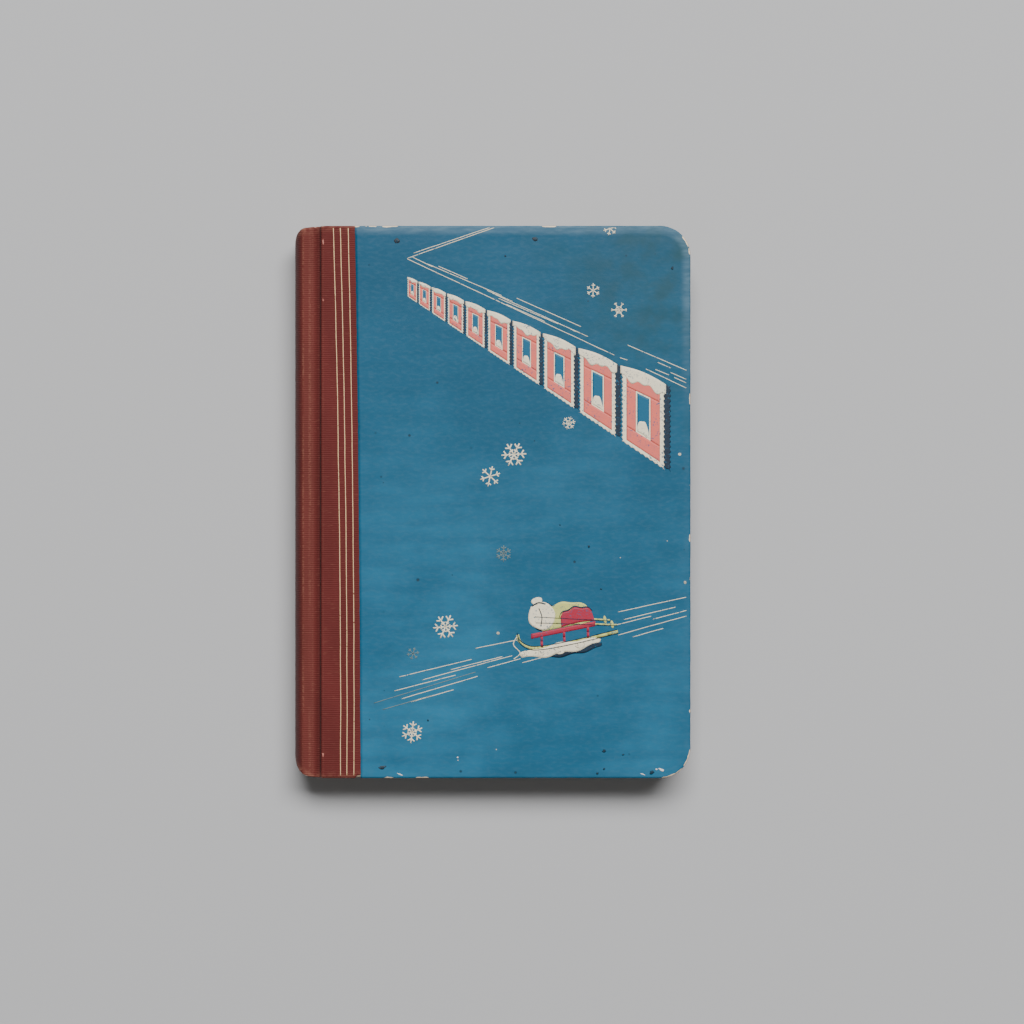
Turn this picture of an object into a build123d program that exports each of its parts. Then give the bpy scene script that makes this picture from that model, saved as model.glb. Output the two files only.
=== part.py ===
from build123d import *
import os

# A quarter-bound stamp album, closed and lying on its back cover.
# +X runs to the fore-edge, +Y to the head and +Z out of the front cover.
# The origin is the centre of the footprint, on the surface that the album lies on.

# ---------------------------------------------------------------- driving dimensions (mm)
album_width = 130.0  # spine to fore-edge
album_height = 182.0  # tail to head
album_thickness = 15.6

board_thickness = 2.0
wrap_thickness = 0.3  # cover paper, and spine cloth
turn_in = 14.0  # how far the covering is folded over inside a board
pastedown_thickness = 0.15
pastedown_margin = 3.0
fore_corner_radius = 10.0
least_corner_radius = 1.5
wrap_edge_round = 0.8
board_edge_round = 0.5

cloth_width_head = 19.4  # from the spine to the line where the paper starts
cloth_width_tail = 21.0

hinge_from_spine = 7.6  # groove that each cover turns about
hinge_depth = 2.2  # groove line below the outside of a cover
cover_from_hinge = 0.4  # near edge of a cover beyond its groove line
lip_clearance = 0.3

spine_corner_radius = 5.0
spine_side_half = 4.1  # half of the gently rounded side of the spine
spine_side_rise = 0.4
shoulder_reach = 3.6  # crown of the shoulder, from the outermost line of the spine
shoulder_drop = 0.2  # crown of the shoulder below the outside of a cover
lip_reach = 5.3  # where the shoulder runs out into the flat lip
strip_thickness = 0.8
lining_thickness = 0.15
spine_strip_height = 178.0

leaf_count = 8
leaf_overhang = 0.1  # leaves reach this far past the groove line, into the spine
leaf_width = 119.5
leaf_height = 176.0
leaf_corner_radius = 2.0
card_thickness = 0.65
guard_thickness = 0.15
guard_width = 12.0
interleaf_thickness = 0.1
interleaf_margin = 2.0
leaf_pitch = 1.2
first_leaf_height = 3.0
flyleaf_thickness = 0.15
front_flyleaf_height = 12.5

pocket_rows = 5
pocket_thickness = 0.12
pocket_depth = 21.0  # how deep a stamp sits in a pocket
pocket_margin_side = 3.0
pocket_margin_tail = 7.0
pocket_margin_head = 3.0

stub_width = 4.3
stub_thickness = 1.1
stub_height = 174.0
mull_thickness = 0.3
mull_height = 168.0
stub_gap_to_leaf = 0.6

# ---------------------------------------------------------------- worked out from those
spine_x = -album_width / 2
fore_x = album_width / 2
head_y = album_height / 2
mid_z = album_thickness / 2
hinge_x = spine_x + hinge_from_spine
cover_near_x = hinge_x + cover_from_hinge
wrapped_thickness = board_thickness + 2 * wrap_thickness
cover_thickness = wrapped_thickness + pastedown_thickness
leaf_near_x = hinge_x - leaf_overhang
leaf_fore_x = leaf_near_x + leaf_width
leaf_thickness = card_thickness + 2 * guard_thickness
pocket_width = leaf_width - guard_width - 2 * pocket_margin_side
pocket_pitch = (leaf_height - pocket_margin_tail - pocket_margin_head) / pocket_rows
stub_right_x = leaf_near_x - stub_gap_to_leaf
mid_plane = Plane.XY.offset(mid_z)


def save(part, name):
    """Label a finished piece and write it under its own name."""
    part.label = name
    export_step(part, f"parts/{name}.step")


def cover_outline(inset):
    """Outline of a cover: square at the groove, rounded at the fore-edge."""
    near = cover_near_x + inset
    far = fore_x - inset
    with BuildSketch() as outline:
        with Locations(((near + far) / 2, 0)):
            Rectangle(far - near, album_height - 2 * inset)
        fillet(outline.vertices().sort_by(Axis.X)[-2:], max(fore_corner_radius - inset, least_corner_radius))
    return outline.sketch


def page_outline(near, far, height):
    """Outline of a leaf: square at the spine, slightly rounded at the fore-edge."""
    with BuildSketch() as outline:
        with Locations(((near + far) / 2, 0)):
            Rectangle(far - near, height)
        fillet(outline.vertices().sort_by(Axis.X)[-2:], leaf_corner_radius)
    return outline.sketch


def board_covering():
    """Covering of one board: its outside, its edges and its turn-ins."""
    with BuildPart() as covering:
        with BuildSketch(Plane.XY):
            add(cover_outline(0))
        extrude(amount=wrapped_thickness)
        fillet(covering.edges().group_by(Axis.Z)[0], wrap_edge_round)
        fillet(covering.edges().group_by(Axis.Z)[-1], board_edge_round)
        with BuildSketch(Plane.XY.offset(wrap_thickness)):
            add(cover_outline(wrap_thickness))
        extrude(amount=board_thickness, mode=Mode.SUBTRACT)
        with BuildSketch(Plane.XY.offset(wrap_thickness + board_thickness)):
            add(cover_outline(turn_in))
        extrude(amount=wrap_thickness, mode=Mode.SUBTRACT)
    return covering.part


def cloth_zone():
    """Block that holds the cloth-covered side of a cover, ending on the slanting paper edge."""
    low_x = spine_x - 1.0
    high_y = head_y + 1.0
    with BuildPart() as zone:
        with BuildSketch(Plane.XY.offset(-1.0)):
            with BuildLine():
                Polyline(
                    (low_x, -high_y),
                    (spine_x + cloth_width_tail, -high_y),
                    (spine_x + cloth_width_head, high_y),
                    (low_x, high_y),
                    close=True,
                )
            make_face()
        extrude(amount=album_thickness + 2.0)
    return zone.part


def spine_line(inset, with_lips):
    """Draw the spine's section at a depth below the cloth's outside, and give its two ends."""
    side_x = spine_x + spine_side_rise + inset
    crown_x = spine_x + shoulder_reach
    crown_z = shoulder_drop + inset
    side = ThreePointArc(
        (side_x, mid_z + spine_side_half),
        (spine_x + inset, mid_z),
        (side_x, mid_z - spine_side_half),
    )
    low_end = TangentArc(side @ 1, (crown_x, crown_z), tangent=side % 1) @ 1
    high_end = TangentArc(side @ 0, (crown_x, album_thickness - crown_z), tangent=-(side % 0)) @ 1
    if with_lips:
        slope_x = spine_x + lip_reach
        lip_z = hinge_depth - wrap_thickness / 2 + inset
        lip_x = hinge_x - lip_clearance
        high_z = album_thickness - lip_z
        low_end = Polyline(low_end, (slope_x, lip_z), (lip_x, lip_z)) @ 1
        high_end = Polyline(high_end, (slope_x, high_z), (lip_x, high_z)) @ 1
    return low_end, high_end


def spine_plan():
    """Block with the spine's plan shape, rounded where the cloth turns in at head and tail."""
    with BuildPart() as plan:
        with BuildSketch(Plane.XY.offset(-1.0)) as outline:
            with Locations((spine_x + hinge_from_spine / 2, 0)):
                Rectangle(hinge_from_spine, album_height)
            fillet(outline.vertices().sort_by(Axis.X)[:2], spine_corner_radius)
        extrude(amount=album_thickness + 2.0)
    return plan.part


def spine_layer(outer_inset, inner_inset, with_lips, height):
    """One curved layer of the spine between two depths."""
    with BuildPart() as layer:
        with BuildSketch(Plane.XZ):
            with BuildLine():
                outer_low, outer_high = spine_line(outer_inset, with_lips)
                inner_low, inner_high = spine_line(inner_inset, with_lips)
                Line(outer_low, inner_low)
                Line(outer_high, inner_high)
            make_face()
        extrude(amount=height / 2, both=True)
        add(spine_plan(), mode=Mode.INTERSECT)
    return layer.part


def leaf_base(index):
    """Height of a leaf's underside; leaf 1 is the top one."""
    return first_leaf_height + (leaf_count - index) * leaf_pitch


os.makedirs("parts", exist_ok=True)

# ---------------------------------------------------------------- back cover, then its mirror image
with BuildPart() as back_board:
    with BuildSketch(Plane.XY.offset(wrap_thickness)):
        add(cover_outline(wrap_thickness))
    extrude(amount=board_thickness)
    fillet(back_board.edges().group_by(Axis.Z)[0], board_edge_round)

with BuildPart() as back_paper:
    add(board_covering())
    add(cloth_zone(), mode=Mode.SUBTRACT)

with BuildPart() as back_cloth:
    add(board_covering())
    add(cloth_zone(), mode=Mode.INTERSECT)

with BuildPart() as back_pastedown:
    with BuildSketch(Plane.XY.offset(wrap_thickness + board_thickness)):
        add(cover_outline(turn_in))
    extrude(amount=wrap_thickness)
    with BuildSketch(Plane.XY.offset(wrapped_thickness)):
        add(cover_outline(pastedown_margin))
    extrude(amount=pastedown_thickness)

cover_pieces = {
    "board": back_board.part,
    "cover_paper": back_paper.part,
    "cloth_side": back_cloth.part,
    "pastedown": back_pastedown.part,
}
for piece_name, piece in cover_pieces.items():
    save(piece, f"back_{piece_name}")
    with BuildPart() as front_piece:
        mirror(piece, about=mid_plane)
    save(front_piece.part, f"front_{piece_name}")

# ---------------------------------------------------------------- spine
lining_inset = wrap_thickness + strip_thickness
save(spine_layer(0, wrap_thickness, True, album_height), "spine_cloth")
save(spine_layer(wrap_thickness, lining_inset, False, spine_strip_height), "spine_strip")
save(spine_layer(lining_inset, lining_inset + lining_thickness, False, leaf_height), "spine_lining")

with BuildPart() as binding_stubs:
    for index in range(1, leaf_count + 1):
        with BuildSketch(Plane.XY.offset(leaf_base(index))):
            with Locations((stub_right_x - stub_width / 2, 0)):
                Rectangle(stub_width, stub_height)
        extrude(amount=stub_thickness)
save(binding_stubs.part, "binding_stubs")

with BuildPart() as mull:
    with BuildSketch(Plane.XY.offset(first_leaf_height)):
        with Locations((stub_right_x - stub_width - mull_thickness / 2, 0)):
            Rectangle(mull_thickness, mull_height)
    extrude(amount=(leaf_count - 1) * leaf_pitch + stub_thickness)
save(mull.part, "mull_lining")

# ---------------------------------------------------------------- flyleaves
for flyleaf_name, flyleaf_z in (
    ("back_flyleaf", cover_thickness),
    ("front_flyleaf", front_flyleaf_height),
):
    with BuildPart() as flyleaf:
        with BuildSketch(Plane.XY.offset(flyleaf_z)):
            add(page_outline(leaf_near_x, leaf_fore_x, leaf_height))
        extrude(amount=flyleaf_thickness)
    save(flyleaf.part, flyleaf_name)

# ---------------------------------------------------------------- stamp leaves
card_near_x = leaf_near_x + guard_thickness
guard_far_x = leaf_near_x + guard_width
pocket_centre_x = (guard_far_x + leaf_fore_x) / 2
pocket_low_y = -leaf_height / 2 + pocket_margin_tail
for index in range(1, leaf_count + 1):
    base = leaf_base(index)
    card_base = base + guard_thickness
    card_top = card_base + card_thickness

    with BuildPart() as card:
        with BuildSketch(Plane.XY.offset(card_base)):
            add(page_outline(card_near_x, leaf_fore_x, leaf_height))
        extrude(amount=card_thickness)
    save(card.part, f"leaf_{index}_card")

    with BuildPart() as guard:
        with BuildSketch(Plane.XY.offset(base)):
            with Locations(((leaf_near_x + guard_far_x) / 2, 0)):
                Rectangle(guard_width, leaf_height)
        extrude(amount=leaf_thickness)
        with BuildSketch(Plane.XY.offset(card_base)):
            with Locations(((card_near_x + leaf_fore_x) / 2, 0)):
                Rectangle(leaf_fore_x - card_near_x, leaf_height)
        extrude(amount=card_thickness, mode=Mode.SUBTRACT)
    save(guard.part, f"leaf_{index}_guard")

    for side_name, pocket_z in (("upper", card_top), ("under", card_base - pocket_thickness)):
        with BuildPart() as pockets:
            with BuildSketch(Plane.XY.offset(pocket_z)):
                for row in range(pocket_rows):
                    with Locations((pocket_centre_x, pocket_low_y + row * pocket_pitch + pocket_depth / 2)):
                        Rectangle(pocket_width, pocket_depth)
            extrude(amount=pocket_thickness)
        save(pockets.part, f"leaf_{index}_{side_name}_pockets")

    with BuildPart() as interleaf:
        with BuildSketch(Plane.XY.offset(base + leaf_thickness)):
            add(
                page_outline(
                    leaf_near_x, leaf_fore_x - interleaf_margin, leaf_height - 2 * interleaf_margin
                )
            )
        extrude(amount=interleaf_thickness)
    save(interleaf.part, f"leaf_{index}_interleaf")
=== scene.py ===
"""Looks of a worn, quarter-bound stamp album: illustrated paper boards, ribbed cloth spine, card leaves."""

import logging
import math
from dataclasses import dataclass, field
from enum import Enum
from typing import Callable, Sequence

import bpy
import numpy as np
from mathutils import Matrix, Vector, noise


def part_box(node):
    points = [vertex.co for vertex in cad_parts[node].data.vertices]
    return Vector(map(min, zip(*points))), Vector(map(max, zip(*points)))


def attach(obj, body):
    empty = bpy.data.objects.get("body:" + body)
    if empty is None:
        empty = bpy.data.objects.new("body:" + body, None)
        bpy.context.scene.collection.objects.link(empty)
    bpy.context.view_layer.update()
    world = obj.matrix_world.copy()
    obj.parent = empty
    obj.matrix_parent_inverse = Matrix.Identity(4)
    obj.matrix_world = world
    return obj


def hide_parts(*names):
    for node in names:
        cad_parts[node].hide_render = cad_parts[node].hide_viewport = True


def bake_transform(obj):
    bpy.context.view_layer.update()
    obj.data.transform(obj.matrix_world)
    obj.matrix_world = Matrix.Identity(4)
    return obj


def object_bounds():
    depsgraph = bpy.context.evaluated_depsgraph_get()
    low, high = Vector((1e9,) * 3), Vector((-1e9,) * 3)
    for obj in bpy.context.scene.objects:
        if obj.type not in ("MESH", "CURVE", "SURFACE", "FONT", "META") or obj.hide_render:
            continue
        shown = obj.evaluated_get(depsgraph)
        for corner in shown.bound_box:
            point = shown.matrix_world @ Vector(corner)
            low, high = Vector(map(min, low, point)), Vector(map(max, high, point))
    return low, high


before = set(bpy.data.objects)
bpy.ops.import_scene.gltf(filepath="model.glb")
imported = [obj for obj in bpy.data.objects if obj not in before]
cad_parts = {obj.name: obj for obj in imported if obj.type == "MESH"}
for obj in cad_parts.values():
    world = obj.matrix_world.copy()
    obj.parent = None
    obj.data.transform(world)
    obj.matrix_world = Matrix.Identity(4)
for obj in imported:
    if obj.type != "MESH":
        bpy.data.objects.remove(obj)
CAD_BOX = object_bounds()
LOG = logging.getLogger("album")
MM = 0.001

Point = tuple[float, float]
Colour = tuple[int, int, int]
Socket = bpy.types.NodeSocket
Material = bpy.types.Material
Piece = bpy.types.Object


# ------------------------------------------------------------------ sizes
@dataclass(frozen=True)
class AlbumSizes:
    """Main sizes of the closed album in millimetres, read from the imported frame."""

    spine_x: float = CAD_BOX[0].x / MM
    fore_x: float = CAD_BOX[1].x / MM
    head_y: float = CAD_BOX[1].y / MM
    thickness: float = CAD_BOX[1].z / MM
    cover_side: float = (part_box("front_cover_paper")[1].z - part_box("front_cover_paper")[0].z) / MM
    cloth_head: float = 19.5
    cloth_tail: float = 21.3
    corner: float = 10.0
    edge_round: float = 0.8

    def paper_line(self, y: float) -> float:
        """X of the slightly bowed line where the cover paper starts, at a height up the cover."""
        share = max(0.0, (y + self.head_y) / (2 * self.head_y))
        return self.spine_x + self.cloth_tail + (self.cloth_head - self.cloth_tail) * share**1.6

    def to_edge(self, x: float, y: float) -> float:
        """Distance from a point on a cover to the cover's outer edge."""
        over_x = x - (self.fore_x - self.corner)
        over_y = abs(y) - (self.head_y - self.corner)
        if over_x > 0 and over_y > 0:
            return self.corner - math.hypot(over_x, over_y)
        return min(self.fore_x - x, self.head_y - abs(y))


SIZES = AlbumSizes()


class Side(Enum):
    """Which cover a piece belongs to."""

    FRONT = "front"
    BACK = "back"

    def height(self, z: float) -> float:
        """Height of a point drawn on the front cover, mirrored for the back cover."""
        return z if self is Side.FRONT else SIZES.thickness - z

    @property
    def body(self) -> str:
        """Body that the cover rides on."""
        return f"{self.value}_cover"

    @property
    def shift(self) -> float:
        """Offset that gives each cover its own pattern of wear."""
        return 0.0 if self is Side.FRONT else 7.3


# ------------------------------------------------------------------ node helpers
def linear(colour: Colour) -> tuple[float, float, float, float]:
    """Turn an 8-bit display colour into the linear colour that a shader takes."""
    red, green, blue = (c / 255 / 12.92 if c <= 10 else ((c / 255 + 0.055) / 1.055) ** 2.4 for c in colour)
    return red, green, blue, 1.0


class NodeSheet:
    """One node tree, with short ways to add to it."""

    def __init__(self, group: bpy.types.NodeTree) -> None:
        """Start with a tree whose places are set later."""
        self.group = group
        self.place: Socket | None = None

    def add(self, kind: str, inputs: dict | None = None, output: int | str = 0, family: str = "ShaderNode",
            **settings: object) -> Socket:
        """Add a node, set its options, and link or set its inputs.

        Args:
            kind: Type of the node, without its family.
            inputs: Input name or index to a socket or a value.
            output: Name or index of the output that is wanted.
            family: First part of the node's type.
            **settings: Options of the node.

        Returns:
            That output.
        """
        node = self.group.nodes.new(family + kind)
        for option, value in settings.items():
            setattr(node, option, value)
        for key, value in (inputs or {}).items():
            if isinstance(value, Socket):
                self.group.links.new(value, node.inputs[key])
            else:
                node.inputs[key].default_value = value
        return node.outputs[output]

    def calc(self, operation: str, first: object, second: object = 0.0) -> Socket:
        """One step of arithmetic."""
        return self.add("Math", {0: first, 1: second}, operation=operation)

    def times(self, first: object, *others: object) -> Socket:
        """Product of values or masks."""
        for other in others:
            first = self.calc("MULTIPLY", first, other)
        return first

    def plus(self, first: object, second: object) -> Socket:
        """Sum of two values."""
        return self.calc("ADD", first, second)

    def minus(self, first: object, second: object) -> Socket:
        """Difference of two values."""
        return self.calc("SUBTRACT", first, second)

    def along(self, axis: str) -> Socket:
        """One of the coordinates of the place."""
        return self.add("SeparateXYZ", {0: self.place}, axis)


class Recipe(NodeSheet):
    """A finish under construction: a base colour that others are laid over."""

    def __init__(self, name: str, base: Colour, **constants: float) -> None:
        """Start a material.

        Args:
            name: Name of the material.
            base: Colour that the others are laid over.
            **constants: Values for the shader's own sockets, with underscores for spaces.
        """
        self.material = bpy.data.materials.new(name)
        self.material.use_nodes = True
        super().__init__(self.material.node_tree)
        self.shader = self.group.nodes["Principled BSDF"]
        for socket, value in constants.items():
            self.shader.inputs[socket.replace("_", " ")].default_value = value
        self.place = self.add("TexCoord", output="Object")
        self.colour: object = linear(base)

    def spread(self, stretch: tuple[float, float, float] = (1.0, 1.0, 1.0), shift: float = 0.0) -> Socket:
        """Object coordinates, stretched and moved so that patterns differ."""
        moved = {"Vector": self.place, "Location": (shift, shift * 0.7, shift * 1.3), "Scale": stretch}
        return self.add("Mapping", moved)

    def mottle(self, size_mm: float, detail: float = 3.0, stretch: Sequence[float] = (1.0, 1.0, 1.0),
               shift: float = 0.0) -> Socket:
        """Soft noise with patches of about a given size."""
        inputs = {"Vector": self.spread(stretch, shift), "Scale": 1 / (size_mm * MM), "Detail": detail}
        return self.add("TexNoise", inputs)

    def fade(self, value: Socket, low: float, high: float) -> Socket:
        """Smooth step from 0 at low to 1 at high; low may be the larger."""
        inputs = {"Value": value, "From Min": low, "From Max": high}
        return self.add("MapRange", inputs, interpolation_type="SMOOTHSTEP")

    def patches(self, low: float, high: float, *noise_settings: object, shift: float = 0.0) -> Socket:
        """Noise that is 0 below one level and 1 above another, with mottle's settings."""
        return self.fade(self.mottle(*noise_settings, shift=shift), low, high)

    def varied(self, value: Socket, low: float, high: float) -> Socket:
        """Spread a 0 to 1 value over a range."""
        return self.add("MapRange", {"Value": value, "To Min": low, "To Max": high})

    def attribute(self, name: str) -> Socket:
        """A value stored on the mesh."""
        return self.add("Attribute", output="Fac", attribute_name=name)

    def specks(self, size_mm: float, radius: float, share: float, shift: float) -> Socket:
        """Scattered round specks.

        Args:
            size_mm: Size of the cell that may hold one speck.
            radius: Radius of a speck as a share of its cell.
            share: Share of cells that hold one.
            shift: Offset of the pattern.

        Returns:
            A mask, 1 in the middle of a speck.
        """
        inputs = {"Vector": self.spread(shift=shift), "Scale": 1 / (size_mm * MM)}
        distance = self.add("TexVoronoi", inputs, "Distance")
        chance = self.add("SeparateColor", {0: distance.node.outputs["Color"]})
        return self.times(self.fade(distance, radius, radius * 0.4), self.fade(chance, share, share - 0.02))

    def mix(self, factor: object, under: object, over: object) -> Socket:
        """Mix two colours."""
        return self.add("Mix", {0: factor, 6: under, 7: over}, 2, data_type="RGBA")

    def lay(self, over: Colour | Socket, mask: Socket, strength: float = 1.0) -> None:
        """Lay a colour over what is there.

        Args:
            over: The colour.
            mask: Where it lies, from 0 to 1.
            strength: How much of it shows there.
        """
        over = over if isinstance(over, Socket) else linear(over)
        self.colour = self.mix(self.times(mask, strength), self.colour, over)

    def finish(self, roughness: Socket | None = None, height: Socket | None = None,
               depth_mm: float = 0.05) -> Material:
        """Link colour, roughness and relief to the shader.

        Args:
            roughness: Roughness, or None for the shader's constant.
            height: Relief from 0 to 1.
            depth_mm: How deep the relief is.

        Returns:
            The material.
        """
        bump = self.add("Bump", {"Height": height, "Distance": depth_mm * MM}) if height is not None else None
        for name, value in (("Base Color", self.colour), ("Roughness", roughness), ("Normal", bump)):
            if value is not None:
                self.group.links.new(value, self.shader.inputs[name])
        return self.material


# ------------------------------------------------------------------ finishes
@dataclass(frozen=True)
class CoverPaperFinish:
    """Blue printed cover paper, worn by rubbing along its edges and stained, with a painted highlight along its
    head edge.
    """

    blue: Colour = (34, 104, 136)
    deep: Colour = (10, 69, 96)
    dirty: Colour = (22, 68, 82)
    rubbed_and_highlight: Colour = (84, 114, 132)
    core: Colour = (228, 208, 178)
    brown: Colour = (120, 94, 76)
    speck: Colour = (20, 40, 50)

    def make(self, side: Side) -> Material:
        """Build the material for one cover."""
        shift = side.shift
        recipe = Recipe(f"{side.value}_cover_paper", self.blue, Specular_IOR_Level=0.22)
        rim, up = recipe.attribute("rim_mm"), recipe.along("Y")
        recipe.lay(self.deep, recipe.patches(0.35, 0.68, 30, 4, shift=shift), 0.6)
        streaky = recipe.patches(0.3, 0.72, 6, 5, (0.3, 1.5, 1.0), shift=shift + 1)
        recipe.lay(self.deep, streaky, 0.4)
        recipe.lay(self.deep, recipe.fade(up, -0.08, 0.09), 0.78)
        recipe.lay(self.rubbed_and_highlight, recipe.patches(0.42, 0.7, 1.3, 3, (0.6, 1.4, 1.0), shift=shift), 0.1)
        # grime gathers towards the head of the fore-edge
        corner = recipe.times(recipe.fade(recipe.along("X"), 0.0, 0.062), recipe.fade(up, 0.0, 0.075), 0.9)
        grime = recipe.varied(recipe.patches(0.34, 0.72, 7, 6, shift=shift + 3), 0.3, 1.0)
        recipe.lay(self.dirty, recipe.times(recipe.plus(corner, 0.1), grime))
        for size, radius, share, number in ((9.0, 0.07, 0.22, 2), (4.5, 0.07, 0.16, 5), (17.0, 0.05, 0.4, 8)):
            recipe.lay(self.speck, recipe.specks(size, radius, share, shift + number), 0.8)
        recipe.lay(self.core, recipe.specks(8.0, 0.03, 0.26, shift + 11), 0.7)
        # rubbing and painted highlight: a pale band where the paper rolls over, painted strongest on the head
        # side, which faces the light, then bare core on the very edge
        scuffs = recipe.varied(recipe.patches(0.3, 0.75, 2.2, 5, (0.4, 1.8, 1.0), shift=shift + 4), 0.35, 1.0)
        # painted highlight: the pale band is laid strongest towards the head, where the rolled edge faces the
        # light
        lit_head_side = recipe.varied(recipe.fade(up, 0.02, 0.088), 0.05, 0.75)
        recipe.lay(self.rubbed_and_highlight, recipe.times(recipe.fade(rim, 3.7, 1.2), lit_head_side, scuffs))
        worn_rim = recipe.times(recipe.fade(rim, 0.9, 0.1), recipe.fade(rim, -3.0, -1.4))
        edge = recipe.times(worn_rim, recipe.attribute("wear"), 0.5)
        bare = recipe.fade(recipe.plus(recipe.mottle(2.6, 6, shift=shift + 5), edge), 0.8, 0.84)
        recipe.lay(recipe.mix(recipe.fade(rim, 0.1, -0.5), linear(self.core), linear(self.brown)), bare)
        pebbles = recipe.times(recipe.mottle(1.6, 3, shift=shift), 0.75)
        fibres = recipe.times(recipe.mottle(0.3, 2, (0.5, 1.4, 1.0), shift), 0.25)
        relief = recipe.minus(recipe.plus(pebbles, fibres), recipe.times(bare, 0.5))
        return recipe.finish(recipe.plus(recipe.varied(streaky, 0.48, 0.62), recipe.times(bare, 0.3)), relief)


@dataclass(frozen=True)
class SpineClothFinish:
    """Maroon ribbed book cloth, worn brown along the ridges of the spine."""

    maroon: Colour = (95, 34, 31)
    dark: Colour = (52, 9, 6)
    worn: Colour = (134, 86, 70)
    nick: Colour = (200, 160, 140)
    rib_mm: float = 0.62

    def make(self, side: Side) -> Material:
        """Build the material for the cloth of one side."""
        shift = side.shift
        recipe = Recipe(f"{side.value}_spine_cloth", self.maroon, Specular_IOR_Level=0.2, Sheen_Weight=0.05)
        rim, from_spine = recipe.attribute("rim_mm"), recipe.minus(recipe.along("X"), SIZES.spine_x * MM)

        def across(*stops: float) -> Socket:
            """Mask that turns on and off at distances from the spine, in millimetres."""
            steps = [recipe.fade(from_spine, a * MM, b * MM) for a, b in zip(stops[::2], stops[1::2])]
            return recipe.times(*steps)

        waves = {"Vector": recipe.spread(shift=shift), "Scale": math.pi / 10 / (self.rib_mm * MM),
                 "Distortion": 1.4, "Detail": 2.0, "Detail Scale": 1.6}
        ribs = recipe.add("TexWave", waves, "Fac", bands_direction="Y")
        threads = recipe.mottle(0.24, 2, (2.0, 1.0, 1.0), shift)
        recipe.lay(self.dark, recipe.patches(0.3, 0.7, 12, 4, (1.6, 0.5, 1.0), shift=shift), 0.22)
        recipe.lay(self.dark, recipe.varied(ribs, 0.24, 0.0))
        # painted shade and dirt: darker down the groove beside the board, where the cloth lies in shade
        recipe.lay(self.dark, across(6.0, 7.7, 8.7, 8.3), 0.5)
        # painted shade: darker on the spine's outer edge, where it curves down away from the light
        recipe.lay(self.dark, across(2.2, 0.9), 0.4)
        # the crown is faded, with worn ridges that show the ribs
        recipe.lay(self.worn, across(1.6, 2.6, 7.2, 5.2), 0.09)
        worn_ribs = recipe.varied(ribs, 0.45, 1.0)
        for centre, width, strength in ((2.4, 0.5, 0.7), (4.6, 0.7, 0.5), (5.6, 0.4, 0.25), (9.0, 0.45, 0.2)):
            near = recipe.calc("ABSOLUTE", recipe.minus(from_spine, centre * MM))
            ridge = recipe.fade(near, width * MM, width * 0.2 * MM)
            streaks = recipe.patches(0.3, 0.62, 2.2, 5, (1.4, 0.12, 1.0), shift=shift + centre)
            grains = recipe.patches(0.36, 0.6, 0.5, 3, (0.7, 1.2, 1.0), shift=shift + centre)
            recipe.lay(self.worn, recipe.times(ridge, streaks, grains, worn_ribs), strength)
        # frayed ends, and threads rubbed bare
        near_side = recipe.varied(across(9.0, 1.0), 0.35, 1.0)
        frayed = recipe.patches(0.36, 0.6, 1.8, 5, shift=shift + 2)
        recipe.lay(self.worn, recipe.times(recipe.fade(rim, 3.2, 0.0), near_side, frayed), 0.8)
        near_end = recipe.times(recipe.fade(rim, 1.2, 0.0), 0.22)
        ends = recipe.fade(recipe.plus(recipe.mottle(1.4, 5, shift=shift + 3), near_end), 0.78, 0.84)
        recipe.lay(self.nick, recipe.times(ends, recipe.fade(rim, -1.6, -0.5), near_side))
        nicks = recipe.specks(5.0, 0.09, 0.55, shift + 6)
        recipe.lay(self.nick, recipe.times(nicks, across(10.2, 8.8, 7.9, 8.4)), 0.8)
        recipe.lay(self.worn, recipe.patches(0.58, 0.74, 0.9, 4, (0.35, 2.0, 1.0), shift=shift + 9), 0.2)
        relief = recipe.plus(recipe.times(ribs, 0.7), recipe.times(threads, 0.3))
        return recipe.finish(recipe.varied(threads, 0.62, 0.8), relief, 0.10)


@dataclass(frozen=True)
class InkFinish:
    """Printing ink or foil on a cover, worn through to what it was printed on."""

    name: str
    colour: Colour
    under: Colour
    wear: float = 0.42
    metal: float = 0.0

    def make(self) -> Material:
        """Build the material."""
        recipe = Recipe(self.name, self.colour, Metallic=self.metal, Specular_IOR_Level=0.25)
        recipe.lay(self.under, recipe.mottle(3.0, 3), 0.25)
        holes = recipe.patches(self.wear, self.wear - 0.07, 0.55, 4, shift=2.0)
        recipe.lay(self.under, recipe.times(holes, recipe.patches(0.62, 0.42, 6.0, 3, shift=5.0)), 0.9)
        return recipe.finish(recipe.varied(holes, 0.5, 0.62), recipe.mottle(0.5, 3), 0.03)


@dataclass(frozen=True)
class SheetFinish:
    """Plain paper, card or board, toned along its edges."""

    name: str
    colour: Colour
    toned: Colour
    fibre_mm: float = 0.5
    depth_mm: float = 0.03
    roughness: float = 0.78
    foxing: float = 0.25
    rust: Colour = (150, 112, 72)

    def make(self) -> Material:
        """Build the material."""
        recipe = Recipe(self.name, self.colour, Roughness=self.roughness, Specular_IOR_Level=0.3)
        ends = recipe.fade(recipe.calc("ABSOLUTE", recipe.along("Y")), 0.076, 0.089)
        margin = recipe.calc("MAXIMUM", ends, recipe.fade(recipe.along("X"), 0.048, 0.063))
        cloudy = recipe.patches(0.3, 0.7, 22, 4)
        recipe.lay(self.toned, recipe.plus(recipe.times(margin, 0.6), recipe.times(cloudy, 0.3)))
        recipe.lay(self.rust, recipe.specks(11.0, 0.1, self.foxing, 4.0), 0.5)
        fibres = recipe.mottle(self.fibre_mm, 4, (0.5, 1.5, 1.0), 1.0)
        recipe.lay(self.toned, recipe.fade(fibres, 0.62, 0.74), 0.2)
        return recipe.finish(None, fibres, self.depth_mm)


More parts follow.
